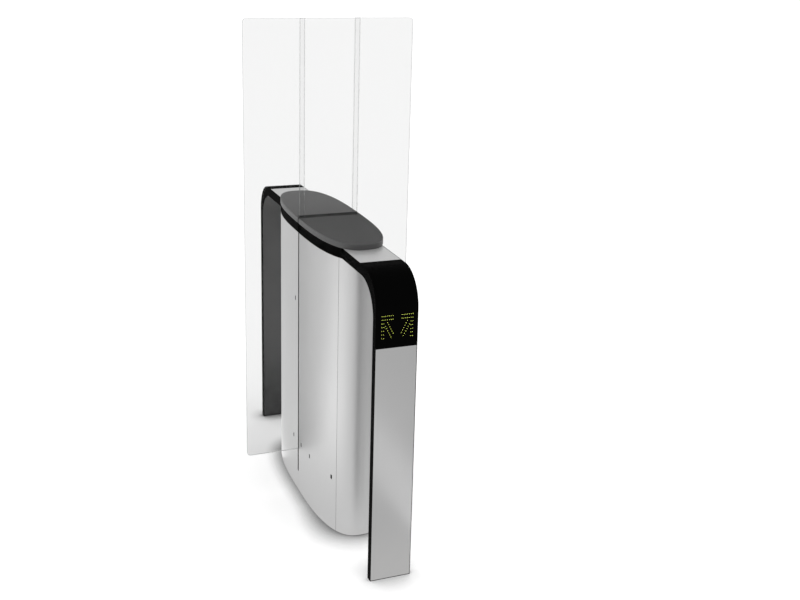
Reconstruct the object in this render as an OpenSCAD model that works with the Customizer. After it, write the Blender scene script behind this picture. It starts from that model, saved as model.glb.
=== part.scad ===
// A speed gate: a bent arch over a lens-shaped body, with two glass wings that slide into it.
// Lengths are in millimetres. The origin is on the floor in the middle of the body.
// X runs across the passage, Y along the body and Z up; the front leg is at -Y.
// The gate looks the same after half a turn about Z, so the rear and right-hand pieces are
// the front and left-hand ones turned, apart from the motor and the electronics.

/* [Arch] */
// Length of the arch from its front face to its rear face
arch_len = 1410; // [1300:10:1600]
// Width of the arch across its black cheeks
arch_w = 144; // [130:2:160]
// Height of the arch above the floor
arch_h = 1070; // [1040:10:1120]
// Thickness of a leg from its outer face to its inner face
leg_t = 26; // [24:1:32]
// Depth of the beam that joins the legs
beam_t = 36; // [32:1:44]
// Outer radius of the upper corners
corner_r = 120; // [100:5:135]
// Inner radius of the upper corners
inner_r = 115; // [100:5:125]
// Sheet thickness of the black channel
channel_t = 2; // [1.5:0.5:3]
// Sheet thickness of the grey liner on the inner faces
liner_t = 1.5; // [1:0.5:2]
// Sheet thickness of the silver leg and top panels
panel_t = 2; // [1.5:0.5:3]
// Height of the folded edges of the silver panels
panel_fold = 12; // [8:1:14]

/* [Display] */
// Thickness of the curved black window
window_t = 3; // [2:0.5:4]
// How far the window reaches back over the top, from the leg's outer face
window_reach = 158; // [150:2:200]
// How far the window reaches down the leg from the top of the arch
window_drop = 240; // [210:5:300]
// Width of the light board
board_w = 124; // [118:1:134]
// Height of the light board
board_h = 106; // [102:1:110]
// Thickness of the light board
board_t = 1.6; // [1:0.2:2.4]
// Radius of one light
led_r = 1.4; // [1:0.1:2]
// Distance of the arrows' top row of lights below the top of the arch
arrow_drop = 132; // [128:1:138]
// Width of one arrow, between its outer rows of lights
arrow_w = 38; // [36:1:42]
// Distance between two rows of lights
arrow_row = 12.3; // [11:0.1:13]
// Centre of the left arrow's outer column
left_arrow_x = -49; // [-52:1:-42]
// Centre of the right arrow's outer column
right_arrow_x = 55; // [50:1:60]

/* [Body] */
// Length of the lens-shaped body
body_len = 824; // [780:4:900]
// Width of the lens-shaped body in the middle
body_w = 234; // [228:2:260]
// Fullness of the lens outline: 2 is an ellipse, larger is squarer
plan_power = 2.75; // [2.5:0.05:3]
// Sheet thickness of the silver skins
skin_t = 2; // [1.5:0.5:3]
// Distance of the upright seams from the middle
seam_y = 357; // [340:1:365]
// Height at which the wing slots begin
slot_low = 79; // [60:1:110]
// Clearance between a wing and the edges of its slot
slot_gap = 2; // [1.5:0.5:3]

/* [Top cover] */
// Thickness of the top cover
cover_t = 20; // [16:1:28]
// How far the cover stands out over the body
cover_over = 2; // [1:0.5:4]
// Wall thickness of the cover
cover_wall = 3; // [2:0.5:4]
// Bevel round the cover's upper edge
cover_bevel = 2.5; // [1:0.5:2.5]
// Clearance between the glass and the straight edges of the cover
well_gap = 4; // [3:0.5:8]
// Width of the rim that closes the glass well at each side
rim_land = 5; // [4:0.5:6]

/* [Glass] */
// Thickness of the glass
glass_t = 8; // [6:1:10]
// Gap between two neighbouring panes
pane_gap = 4; // [4:0.5:6]
// Height of the glass above the floor
glass_top = 1800; // [1500:10:1900]
// Height of the wings' lower edge
wing_low = 173; // [165:1:200]
// Distance of a wing's outer edge from the middle when the gate is closed
wing_reach = 318; // [290:2:360]
// Radius of the wings' outer corners
glass_corner = 14; // [6:1:20]
// How far the fixed pane reaches down below the underside of the beam
pane_depth = 144; // [114:2:174]

/* [Wing clamps] */
// Width of glass that a clamp holds
grip = 16; // [14:1:20]
// Thickness of a clamp's front bar
clamp_bar = 10; // [8:1:12]
// Thickness of a clamp's rear lip
clamp_lip = 1.5; // [1:0.25:2]
// Thickness of the web that joins the bar and the lip
clamp_web = 4; // [3:0.5:6]
// Height of the clamps' lower end
clamp_low = 150; // [146:1:160]
// Thickness of the belt clamps' plates
belt_plate = 6; // [4:0.5:8]

/* [Guides] */
// Height of a guide rail
rail_h = 15; // [12:1:20]
// Depth of a guide rail
rail_t = 12; // [10:1:16]
// Height of the lower rails' centre line
low_rail_z = 300; // [270:5:350]
// Distance of the upper rails' centre line below the underside of the beam
high_rail_drop = 134; // [94:2:194]
// Length of a carriage
carriage_l = 50; // [40:1:50]
// Height of a carriage
carriage_h = 40; // [34:1:48]
// Depth of a carriage
carriage_t = 31; // [26:1:34]
// Running clearance between a carriage and its rail
slide_gap = 0.2; // [0.1:0.05:0.3]

/* [Inner frame] */
// Thickness of the floor plate
plate_t = 8; // [6:1:12]
// Side of a square post
post_size = 30; // [25:1:36]
// Wall of the posts and crossbeams
tube_wall = 2.5; // [2:0.5:4]
// Distance of the posts' inner faces from the middle
post_x = 70; // [60:1:74]
// Depth of a crossbeam
crossbeam_t = 25; // [20:1:30]
// Height of a crossbeam
crossbeam_h = 40; // [30:1:50]
// Half the width of the spine that carries the fixed pane
spine_half = 70; // [60:1:74]

/* [Drive] */
// Inner radius of the belts where they run round the pulleys
belt_r = 10; // [9:0.5:10]
// Thickness of the belts
belt_t = 2.5; // [2:0.25:3]
// Width of the belts
belt_w = 15; // [12:1:15]
// Height of the wing belt's lower edge
belt_z = 120; // [118:1:124]
// Height of the motor belt's lower edge
motor_belt_z = 78; // [76:1:82]
// Radius of the pulleys' shafts
shaft_r = 4; // [3:0.5:5]
// Number of teeth on a pulley
pulley_teeth = 20; // [16:1:24]
// Place of the gear motor across the body
motor_x = 20; // [0:1:28]
// Place of the gear motor along the body
motor_y = 118; // [116:1:130]
// Radius of the gear motor
motor_r = 28; // [24:1:30]
// Length of the gear motor
motor_l = 180; // [140:5:200]

/* [Floor fixings] */
// Radius of the four anchor holes in the floor plate
anchor_r = 7; // [5:0.5:9]
// Distance across between the floor plate's anchor holes
anchor_dx = 120; // [100:5:130]
// Distance along between the floor plate's anchor holes
anchor_dy = 560; // [500:10:580]
// Radius of the anchor holes in the legs' feet
foot_anchor_r = 5.5; // [4:0.5:6]
// Distance between the anchor holes in a leg's foot
foot_anchor_dx = 90; // [70:2:100]
// Thickness of a leg's foot plate
foot_t = 8; // [6:1:12]
// Inner radius of the cable grommet in the floor plate
cable_r = 16; // [12:1:20]

/* [Photocells] */
// Width of a photocell window
cell_w = 8; // [6:0.5:10]
// Height of a photocell window
cell_h = 16; // [12:1:20]
// Height of the lower row of photocells
cell_low = 205; // [190:1:230]
// Height of the upper photocell on each side
cell_high = 772; // [720:1:800]
// Depth of a photocell behind its window
cell_depth = 18; // [12:1:18]

/* [Electronics] */
// Length of the upright plate that carries the electronics
tray_len = 200; // [180:5:210]
// Height of the upright plate that carries the electronics
tray_h = 640; // [600:10:760]
// Sheet thickness of that plate
tray_t = 2; // [1.5:0.5:3]
// Length of the control board
control_len = 160; // [150:2:170]
// Height of the control board
control_h = 220; // [210:5:260]
// Length of the power supply
supply_len = 120; // [110:5:160]
// Height of the power supply
supply_h = 200; // [190:5:240]
// Thickness of the power supply
supply_t = 40; // [34:1:46]

/* [Hidden] */

$fn = 64;
fit = 0.3;           // gap between pieces that are set beside each other
bore_gap = 0.05;     // running clearance of a shaft in its bore

// Arch
face_y = arch_len / 2;
cheek_x = arch_w / 2;
inside_x = cheek_x - channel_t;
leg_in = face_y - leg_t;
beam_z = arch_h - beam_t;
bend_y = leg_in - inner_r;
bend_z = beam_z - inner_r;
window_low = arch_h - window_drop;
web_y = leg_in + liner_t + channel_t;
deck_floor = beam_z + liner_t + channel_t;

// Body
body_x = body_w / 2;
body_y = body_len / 2;
skin_in = body_x - skin_t;
plan_n = 96;

// Glass
wing_y = glass_t + pane_gap;
glass_face = wing_y + glass_t / 2;
glass_back = wing_y - glass_t / 2;
clamp_x = skin_in - 3;
wing_in = clamp_x - grip;
pane_half = body_x - rim_land - 1;
pane_low = beam_z - pane_depth;
well_y = glass_face + well_gap;
slot_out = glass_face + slot_gap;
slot_in = glass_back - slot_gap;

// Guides
bar_face = glass_face + clamp_bar;
carriage_x = skin_in - 3;
high_rail_z = beam_z - high_rail_drop;
rail_back = bar_face + carriage_t + 3;
rail_half = skin_in - 4;
post_y = rail_back + crossbeam_t;
clamp_top = beam_z - 14;
shoe_wall = pane_gap - clamp_lip - 0.7;

// Drive: the jaws stop short of the pulleys, which sets the wings' travel at
// 2 * (pulley_x - jaw_gap) - jaw_l
flange_r = belt_r + belt_t + 0.3;
pulley_x = skin_in - flange_r - 1.2;
jaw_l = 12;
jaw_gap = 9;
belt_top = belt_z + belt_w;
bracket_z = motor_belt_z + belt_w + 7;
bracket_t = 6;

// Half a turn about the upright middle line
module half_turn() {
    rotate([0, 0, 180]) children();
}

// A box from its lowest to its highest corner
module block(low, high) {
    translate(low) cube(high - low);
}

// An outline in Y and Z, drawn out along X from x0 to x1
module along_x(x0, x1) {
    translate([x0, 0, 0]) rotate([90, 0, 90]) linear_extrude(x1 - x0) children();
}

// The lens outline, grown or shrunk by an even margin
function plan_points(grow) = [
    for (i = [0 : plan_n - 1])
        let (c = cos(360 * i / plan_n), s = sin(360 * i / plan_n))
        [sign(c) * (body_x + grow) * pow(abs(c), 2 / plan_power),
         sign(s) * (body_y + grow) * pow(abs(s), 2 / plan_power)]
];

// Half width of the lens at a place along the body
function plan_x(y) = body_x * pow(1 - pow(abs(y) / body_y, plan_power), 1 / plan_power);

// Angle by which the lens side has turned away from X at a place along the body
function plan_turn(y) = atan2(
    sign(y) * pow(abs(y) / body_y, plan_power - 1) / body_y,
    pow(plan_x(y) / body_x, plan_power - 1) / body_x);

module plan_slab(grow, z0, z1) {
    translate([0, 0, z0]) linear_extrude(z1 - z0) polygon(plan_points(grow));
}

// Floor plate: a steel lens inside the skins, with anchor holes and the cable entry
cable_at = [-50, -240];

module floor_plate() {
    color("dimgray") difference() {
        plan_slab(-skin_t - fit, 0, plate_t);
        for (x = [-1, 1], y = [-1, 1])
            translate([x * anchor_dx / 2, y * anchor_dy / 2, -1]) cylinder(r = anchor_r, h = plate_t + 2);
        translate([cable_at.x, cable_at.y, -1]) cylinder(r = cable_r + 4, h = plate_t + 2);
    }
}

module cable_grommet() {
    color("black") translate([cable_at.x, cable_at.y, 0]) difference() {
        union() {
            cylinder(r = cable_r + 4 - fit, h = plate_t);
            translate([0, 0, plate_t]) cylinder(r = cable_r + 8, h = 3);
        }
        translate([0, 0, -1]) cylinder(r = cable_r, h = plate_t + 5);
    }
}

// Leg feet: flat bars at the bottom of the channels, with two anchor holes each
foot_y = (face_y - panel_t + web_y) / 2;

module leg_foot() {
    difference() {
        union() {
            block([-inside_x, -face_y, 0], [inside_x, -web_y, 2]);
            block([-inside_x, -face_y + panel_t + fit, 2], [inside_x, -web_y, foot_t]);
        }
        for (x = [-1, 1])
            translate([x * foot_anchor_dx / 2, -foot_y, -1]) cylinder(r = foot_anchor_r, h = foot_t + 2);
    }
}

module leg_feet() {
    color("black") {
        leg_foot();
        half_turn() leg_foot();
    }
}

// Posts: four square tubes between the floor plate and the deck
module post() {
    translate([0, 0, plate_t]) linear_extrude(beam_z - plate_t) difference() {
        square(post_size);
        translate([tube_wall, tube_wall]) square(post_size - 2 * tube_wall);
    }
}

module frame_posts() {
    color("slategray") for (x = [0, 1], y = [0, 1])
        mirror([x, 0, 0]) mirror([0, y, 0]) translate([post_x, post_y, 0]) post();
}

// Crossbeams: tubes on the posts' inner faces, which carry the rails
module crossbeam(z) {
    translate([0, -rail_back, z]) along_x(-skin_in + 5, skin_in - 5) difference() {
        translate([-crossbeam_t, -crossbeam_h / 2]) square([crossbeam_t, crossbeam_h]);
        translate([tube_wall - crossbeam_t, tube_wall - crossbeam_h / 2])
            square([crossbeam_t - 2 * tube_wall, crossbeam_h - 2 * tube_wall]);
    }
}

module front_crossbeams() {
    color("slategray") for (z = [low_rail_z, high_rail_z]) crossbeam(z);
}

module rear_crossbeams() {
    half_turn() front_crossbeams();
}

// Spine: an upright plate between the wings that carries the fixed pane in its shoe
shoe_low = pane_low - 10;

module spine_plate() {
    color("slategray") difference() {
        block([-spine_half, -glass_t / 2, plate_t], [spine_half, glass_t / 2, shoe_low]);
        for (z = [low_rail_z - 40 : 130 : pane_low - 120])
            translate([0, 0, z]) rotate([90, 0, 0]) cylinder(r = 30, h = glass_t + 2, center = true);
    }
}

module spine_bracket() {
    difference() {
        union() {
            block([-60, -glass_t / 2 - 4, plate_t], [60, -glass_t / 2, plate_t + 45]);
            block([-60, -glass_t / 2 - 30, plate_t], [60, -glass_t / 2 - 4, plate_t + 4]);
        }
        for (x = [-40, 0, 40])
            translate([x, -glass_t / 2 - 18, plate_t - 1]) cylinder(r = 4.5, h = 6);
    }
}

module spine_brackets() {
    color("slategray") {
        spine_bracket();
        half_turn() spine_bracket();
    }
}

module pane_shoe() {
    color("silver") along_x(-spine_half, spine_half) difference() {
        translate([-glass_t / 2 - shoe_wall, shoe_low]) square([glass_t + 2 * shoe_wall, 45]);
        translate([-glass_t / 2, pane_low]) square([glass_t, 45]);
    }
}

// Glass: one fixed pane and two wings with rounded outer corners
module centre_pane() {
    color([0.85, 0.92, 0.9, 0.35])
        block([-pane_half, -glass_t / 2, pane_low], [pane_half, glass_t / 2, glass_top]);
}

module wing_outline() {
    wing_h = glass_top - wing_low;
    translate([glass_corner - wing_reach, wing_low])
        square([wing_reach - glass_corner - wing_in, wing_h]);
    translate([-wing_reach, wing_low + glass_corner])
        square([glass_corner, wing_h - 2 * glass_corner]);
    for (z = [wing_low + glass_corner, glass_top - glass_corner])
        translate([glass_corner - wing_reach, z]) circle(glass_corner);
}

module left_wing_glass() {
    color([0.85, 0.92, 0.9, 0.35])
        translate([0, -glass_back, 0]) rotate([90, 0, 0]) linear_extrude(glass_t) wing_outline();
}

module right_wing_glass() {
    half_turn() left_wing_glass();
}

// Wing clamps: upright extrusions that hold the inner edge of the glass
bolt_head_r = 6;
bolt_head_h = 5;
belt_plate_top = clamp_low + 40;
clamp_bolts = concat(
    [(belt_plate_top + low_rail_z - carriage_h / 2) / 2],
    [for (i = [1 : 4]) low_rail_z + i * (high_rail_z - low_rail_z) / 5],
    [(high_rail_z + carriage_h / 2 + clamp_top) / 2]
);

module left_wing_clamp() {
    color("silver") {
        translate([0, 0, clamp_low]) linear_extrude(clamp_top - clamp_low) polygon([
            [-clamp_x, -bar_face], [-wing_in + clamp_web, -bar_face],
            [-wing_in + clamp_web, -glass_back + clamp_lip], [-clamp_x, -glass_back + clamp_lip],
            [-clamp_x, -glass_back], [-wing_in, -glass_back],
            [-wing_in, -glass_face], [-clamp_x, -glass_face]
        ]);
        for (z = clamp_bolts)
            translate([-clamp_x + grip / 2, -bar_face, z]) rotate([90, 0, 0])
                cylinder(r = bolt_head_r, h = bolt_head_h);
    }
}

module right_wing_clamp() {
    half_turn() left_wing_clamp();
}

// Guide rails with a groove along each edge, and the carriages that run on them
module rail_outline(gap) {
    w = rail_t + gap;
    h = rail_h / 2 + gap;
    polygon([
        [-rail_back, -h], [-rail_back + w * 0.35, -h], [-rail_back + w * 0.5, -h + 2],
        [-rail_back + w * 0.65, -h], [-rail_back + w, -h], [-rail_back + w, h],
        [-rail_back + w * 0.65, h], [-rail_back + w * 0.5, h - 2], [-rail_back + w * 0.35, h],
        [-rail_back, h]
    ]);
}

module left_rails() {
    color("lightgray") for (z = [low_rail_z, high_rail_z])
        translate([0, 0, z]) along_x(-rail_half, rail_half) rail_outline(0);
}

module right_rails() {
    half_turn() left_rails();
}

module left_carriages() {
    color("steelblue") for (z = [low_rail_z, high_rail_z])
        translate([0, 0, z]) along_x(-carriage_x, -carriage_x + carriage_l) difference() {
            translate([-bar_face - carriage_t, -carriage_h / 2]) square([carriage_t, carriage_h]);
            rail_outline(slide_gap);
        }
}

module right_carriages() {
    half_turn() left_carriages();
}

// Belt clamps: plates on the wing clamps, with a jaw that grips one run of the wing belt
jaw_x = -pulley_x + jaw_gap;
belt_face = belt_r + belt_t + 0.4;
jaw_back = belt_r - 0.3;

module left_belt_clamp() {
    color("goldenrod") {
        block([-clamp_x, -bar_face - belt_plate, belt_z - 2], [jaw_x + jaw_l, -bar_face, belt_plate_top]);
        block([jaw_x, -bar_face, belt_z + 0.5], [jaw_x + jaw_l, -belt_face, belt_top - 0.5]);
        block([jaw_x, -bar_face, belt_top + 0.5], [jaw_x + jaw_l, -jaw_back + 2.2, clamp_low - 8]);
        block([jaw_x, -jaw_back, belt_z + 0.5], [jaw_x + jaw_l, -jaw_back + 2.2, belt_top + 0.5]);
        block([jaw_x, -bar_face, belt_top - 0.5], [jaw_x + jaw_l, -belt_face, belt_top + 0.5]);
    }
}

module right_belt_clamp() {
    half_turn() left_belt_clamp();
}

// Belts: a loop round two pulleys
module belt_loop(from, to, z) {
    span = norm(to - from);
    translate([from.x, from.y, z]) rotate([0, 0, atan2(to.y - from.y, to.x - from.x)])
        linear_extrude(belt_w) difference() {
            racetrack(span, belt_r + belt_t);
            racetrack(span, belt_r);
        }
}

module racetrack(span, r) {
    circle(r);
    translate([span, 0]) circle(r);
    translate([0, -r]) square([span, 2 * r]);
}

motor_at = [motor_x, motor_y];
drive_at = [pulley_x, 0];
idler_at = [-pulley_x, 0];

module wing_belt() {
    color([0.1, 0.1, 0.1]) belt_loop(idler_at, drive_at, belt_z);
}

module motor_belt() {
    color([0.1, 0.1, 0.1]) belt_loop(drive_at, motor_at, motor_belt_z);
}

// Toothed pulleys under the belts, with a flange below
tooth_r = belt_r - fit;

module toothed_pulley(z) {
    translate([0, 0, z]) {
        translate([0, 0, -2]) cylinder(r = flange_r, h = 1.6);
        translate([0, 0, -0.4]) difference() {
            cylinder(r = tooth_r, h = belt_w + 1);
            for (i = [0 : pulley_teeth - 1])
                rotate([0, 0, 360 * i / pulley_teeth]) translate([tooth_r + 0.3, 0, -1])
                    cylinder(r = 1, h = belt_w + 3, $fn = 16);
        }
    }
}

module drive_pulley() {
    color("lightgray") translate([drive_at.x, drive_at.y, 0]) {
        toothed_pulley(belt_z);
        toothed_pulley(motor_belt_z);
        translate([0, 0, plate_t + 6]) cylinder(r = shaft_r, h = belt_top + 2 - plate_t - 6);
    }
}

module idler_pulley() {
    color("lightgray") translate([idler_at.x, idler_at.y, 0]) difference() {
        toothed_pulley(belt_z);
        translate([0, 0, belt_z - 10]) cylinder(r = shaft_r + bore_gap, h = belt_w + 20);
    }
}

module motor_pulley() {
    color("lightgray") translate([motor_at.x, motor_at.y, 0]) {
        toothed_pulley(motor_belt_z);
        translate([0, 0, motor_belt_z - 2]) cylinder(r = shaft_r, h = bracket_z + bracket_t + 20 - motor_belt_z);
    }
}

// Bearing block of the drive shaft, and the idler's bracket with its fixed axle
block_top = motor_belt_z - 6;

module bearing_block() {
    color("dimgray") translate([drive_at.x, drive_at.y, 0]) difference() {
        block([-13, -14, plate_t], [skin_in - pulley_x - 1.5, 14, block_top]);
        translate([0, 0, plate_t + 4]) cylinder(r = shaft_r + bore_gap, h = block_top);
    }
}

module idler_bracket() {
    color("dimgray") translate([idler_at.x, idler_at.y, 0]) {
        block([pulley_x - skin_in + 1.5, -14, plate_t], [13, 14, belt_z - 8]);
        translate([0, 0, belt_z - 8]) cylinder(r = 7, h = 5.7);
        translate([0, 0, belt_z - 8]) cylinder(r = shaft_r, h = belt_w + 12);
    }
}

// Gear motor, hung by its flange on a bracket between the rear posts
module gear_motor() {
    gearbox_l = motor_l * 0.3;
    color("darkslategray") translate([motor_at.x, motor_at.y, bracket_z + bracket_t]) difference() {
        union() {
            cylinder(r = motor_r, h = gearbox_l);
            translate([0, 0, gearbox_l]) cylinder(r = motor_r - 2, h = motor_l * 0.58);
            translate([0, 0, motor_l * 0.88]) cylinder(r = motor_r - 4, h = motor_l * 0.12);
        }
        translate([0, 0, -1]) cylinder(r = shaft_r + bore_gap, h = 24);
    }
}

module motor_bracket() {
    color("slategray") difference() {
        union() {
            block([-post_x, post_y + 3, bracket_z], [post_x, motor_y + motor_r + 4, bracket_z + bracket_t]);
            for (x = [0, 1]) mirror([x, 0, 0])
                block([post_x - 3, post_y + 3, bracket_z], [post_x, post_y + post_size, bracket_z + 40]);
        }
        translate([motor_at.x, motor_at.y, bracket_z - 1]) cylinder(r = 12, h = bracket_t + 2);
    }
}

// Leg channels: black cheeks and web, open to the outside
module front_leg_channel() {
    color([0.05, 0.05, 0.05]) {
        for (x = [0, 1]) mirror([x, 0, 0])
            block([inside_x, -face_y, 0], [cheek_x, -leg_in, bend_z]);
        block([-inside_x, -web_y, 0], [inside_x, -leg_in - liner_t, bend_z]);
    }
}

module rear_leg_channel() {
    half_turn() front_leg_channel();
}

// Corner channels: the same section led round the bend
module corner_outline() {
    difference() {
        intersection() {
            translate([-face_y, bend_z]) square([face_y - bend_y, arch_h - bend_z]);
            union() {
                translate([corner_r - face_y, arch_h - corner_r]) circle(corner_r);
                translate([-face_y, bend_z]) square([face_y, arch_h - corner_r - bend_z]);
                translate([corner_r - face_y, bend_z]) square([face_y, arch_h - bend_z]);
            }
        }
        translate([-bend_y, bend_z]) circle(inner_r);
    }
}

// A quarter ring round the bend's inner centre
module bend_ring(r0, r1) {
    intersection() {
        translate([-bend_y - r1, bend_z]) square(r1);
        translate([-bend_y, bend_z]) difference() {
            circle(r1);
            circle(r0);
        }
    }
}

module front_corner_channel() {
    color([0.05, 0.05, 0.05]) {
        along_x(inside_x, cheek_x) corner_outline();
        along_x(-cheek_x, -inside_x) corner_outline();
        along_x(-inside_x, inside_x) bend_ring(inner_r + liner_t, inner_r + liner_t + channel_t);
    }
}

module rear_corner_channel() {
    half_turn() front_corner_channel();
}

// Liners: grey sheets on the inner faces of the legs, round the bends and under the beam
liner_low = 3;

module front_liner() {
    color([0.25, 0.25, 0.25]) {
        block([-inside_x, -leg_in - liner_t, liner_low], [inside_x, -leg_in, bend_z]);
        along_x(-inside_x, inside_x) bend_ring(inner_r, inner_r + liner_t);
        block([-inside_x, -bend_y, beam_z], [inside_x, -body_y - 1, beam_z + liner_t]);
    }
}

module rear_liner() {
    half_turn() front_liner();
}

// The front half of the lens, with the glass well and the two wing slots left out
module front_half(z0, z1, wall) {
    far = arch_len;
    land = pane_half + 1 - wall;
    block([-land, -far, z0], [land, -well_y - wall, z1]);
    if (wall == 0) {
        block([-far, -far, z0], [-land, -slot_out, z1]);
        block([land, -far, z0], [far, slot_in, z1]);
    }
}

// Decks: the black beam where it swells into the lens under the cover
deck_wall = 3;

module front_deck() {
    color([0.05, 0.05, 0.05]) difference() {
        intersection() {
            union() {
                plan_slab(0, beam_z, arch_h);
                block([-cheek_x, -bend_y, beam_z], [cheek_x, 0, arch_h]);
            }
            front_half(beam_z, arch_h, 0);
        }
        intersection() {
            union() {
                plan_slab(-deck_wall, deck_floor, arch_h + 1);
                block([-inside_x, -bend_y - 1, deck_floor], [inside_x, 0, arch_h + 1]);
            }
            front_half(deck_floor, arch_h + 1, deck_wall);
        }
        block([-inside_x, -bend_y - 1, beam_z - 1], [inside_x, -body_y - 0.7, beam_z + liner_t]);
    }
}

module rear_deck() {
    half_turn() front_deck();
}

// Silver panels: folded trays that close the legs and the top of the beam
module front_leg_panel() {
    top = window_low - fit;
    color("silver") {
        block([-inside_x, -face_y, 2], [inside_x, -face_y + panel_t, top]);
        for (x = [0, 1]) mirror([x, 0, 0])
            block([inside_x - panel_t, -face_y + panel_t, foot_t + fit],
                  [inside_x, -face_y + panel_fold, top]);
    }
}

module rear_leg_panel() {
    half_turn() front_leg_panel();
}

panel_end = face_y - window_reach;
panel_start = seam_y - 30;

module front_top_panel() {
    color("silver") {
        block([-inside_x, -panel_end + fit, arch_h - panel_t], [inside_x, -panel_start, arch_h]);
        for (x = [0, 1]) mirror([x, 0, 0])
            block([inside_x - panel_t, -panel_end + fit, arch_h - panel_fold],
                  [inside_x, -panel_start, arch_h - panel_t]);
    }
}

module rear_top_panel() {
    half_turn() front_top_panel();
}

// Display windows: black sheets bent over the corners
module outer_shape(inset) {
    union() {
        translate([corner_r - face_y, arch_h - corner_r]) circle(corner_r - inset);
        translate([inset - face_y, 0]) square([face_y, arch_h - corner_r]);
        translate([corner_r - face_y, 0]) square([face_y, arch_h - inset]);
    }
}

module front_display_window() {
    color([0.02, 0.02, 0.02]) along_x(-inside_x, inside_x) intersection() {
        difference() {
            outer_shape(0);
            outer_shape(window_t);
        }
        translate([-face_y, window_low]) square([window_reach, arch_h - window_low]);
    }
}

module rear_display_window() {
    half_turn() front_display_window();
}

// Light boards: a circuit board behind the window, with two arrows of small lights
board_z = window_low + 10;
led_len = 4.5;
board_y = face_y - window_t - led_len;

// Places of one arrow's lights, from its outer top corner inwards and down
function arrow_lights() =
    let (column = arrow_w / 6, step_x = arrow_w / 9.5, step_z = arrow_row * 0.61)
    concat(
        [for (row = [0, 1], i = [0 : 6]) [i * column, row * arrow_row]],
        [for (i = [0, 1], row = [2 : 6]) [i * column, row * arrow_row]],
        [for (i = [0 : 5]) [arrow_w * 0.51 + i * step_x, arrow_row * 1.76 + i * step_z]],
        [for (i = [0 : 5]) [arrow_w * 0.32 + i * step_x, arrow_row * 2.75 + i * step_z]]
    );

module arrow(x, side) {
    for (p = arrow_lights())
        translate([x + side * p.x, -board_y, arch_h - arrow_drop - p.y]) rotate([90, 0, 0])
            cylinder(r = led_r, h = led_len, $fn = 16);
}

module front_light_board() {
    color("darkgreen") {
        block([-board_w / 2, -board_y, board_z], [board_w / 2, -board_y + board_t, board_z + board_h]);
        for (x = [-1, 1], z = [8, board_h - 8])
            translate([x * (board_w / 2 - 8), -web_y, board_z + z]) rotate([90, 0, 0])
                cylinder(r = 3, h = board_y - board_t - web_y);
    }
    color("yellowgreen") {
        arrow(left_arrow_x, 1);
        arrow(right_arrow_x, -1);
    }
}

module rear_light_board() {
    half_turn() front_light_board();
}

// Covers: two lens-shaped shells that meet round the glass
module cover_body(grow, z0, z1, bevel) {
    hull() {
        plan_slab(grow, z0, z1 - bevel);
        plan_slab(grow - bevel, z0, z1);
    }
}

module front_cover() {
    color([0.3, 0.3, 0.3]) difference() {
        intersection() {
            cover_body(cover_over, arch_h, arch_h + cover_t, cover_bevel);
            front_half(arch_h, arch_h + cover_t, 0);
        }
        intersection() {
            plan_slab(cover_over - cover_wall, arch_h - 1, arch_h + cover_t - cover_wall);
            front_half(arch_h - 1, arch_h + cover_t - cover_wall, cover_wall);
        }
    }
}

module rear_cover() {
    half_turn() front_cover();
}

// Seals: rubber lips along the glass well and inside the wing slots
module well_seals() {
    color("black") for (turn = [0, 180]) rotate([0, 0, turn])
        block([-pane_half, -well_y, arch_h + 2], [pane_half, -glass_face - 1, arch_h + cover_t - 2]);
}

module slot_seal_pair() {
    seal_x = skin_in - fit;
    for (y = [slot_out - 1, slot_in - 6])
        block([-seal_x, -y - 7, clamp_low], [-seal_x + 1.6, -y, beam_z - 2]);
}

module slot_seals() {
    color("black") {
        slot_seal_pair();
        half_turn() slot_seal_pair();
    }
}

// Photocells: small dark windows set in the skins, with a sensor behind each one
left_cells = [[50, cell_low], [-50, cell_low], [-150, cell_low], [-330, cell_low], [30, cell_high]];

module at_cell(cell) {
    translate([-plan_x(cell[0]), cell[0], cell[1]]) rotate([0, 0, -plan_turn(cell[0])]) children();
}

module cell_cuts() {
    for (cell = left_cells) at_cell(cell)
        block([-5, -cell_w / 2 - 0.1, -cell_h / 2 - 0.1], [skin_t + 2, cell_w / 2 + 0.1, cell_h / 2 + 0.1]);
}

module cell_windows() {
    for (cell = left_cells) at_cell(cell)
        block([0, -cell_w / 2, -cell_h / 2], [skin_t + 1, cell_w / 2, cell_h / 2]);
}

module photocell_windows() {
    color([0.1, 0.05, 0.05]) {
        cell_windows();
        half_turn() cell_windows();
    }
}

module cell_bodies() {
    for (cell = left_cells) at_cell(cell)
        block([skin_t + 1, -cell_w / 2 - 3, -cell_h / 2 - 3],
              [skin_t + 1 + cell_depth, cell_w / 2 + 3, cell_h / 2 + 3]);
}

module photocells() {
    color("darkslategray") {
        cell_bodies();
        half_turn() cell_bodies();
    }
}

// Skins: silver sheets that follow the lens, parted at the slots and the seams
module lens_shell() {
    difference() {
        plan_slab(0, 0, beam_z);
        plan_slab(-skin_t, -1, beam_z + 1);
    }
}

slot_mid = (slot_out + slot_in) / 2;

module left_front_skin() {
    color("gainsboro") difference() {
        intersection() {
            lens_shell();
            block([-body_x - 1, -seam_y, 0], [0, -slot_mid, beam_z]);
        }
        block([-body_x - 1, -slot_out, slot_low], [0, 0, beam_z + 1]);
        cell_cuts();
    }
}

module left_rear_skin() {
    color("gainsboro") difference() {
        intersection() {
            lens_shell();
            block([-body_x - 1, -slot_mid, 0], [0, seam_y, beam_z]);
        }
        block([-body_x - 1, -slot_mid - 1, slot_low], [0, -slot_in, beam_z + 1]);
        cell_cuts();
    }
}

module right_rear_skin() {
    half_turn() left_front_skin();
}

module right_front_skin() {
    half_turn() left_rear_skin();
}

module front_end_cap() {
    color("gainsboro") intersection() {
        lens_shell();
        block([-body_x, -body_y - 1, 0], [body_x, -seam_y, beam_z]);
    }
}

module rear_end_cap() {
    half_turn() front_end_cap();
}

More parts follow.
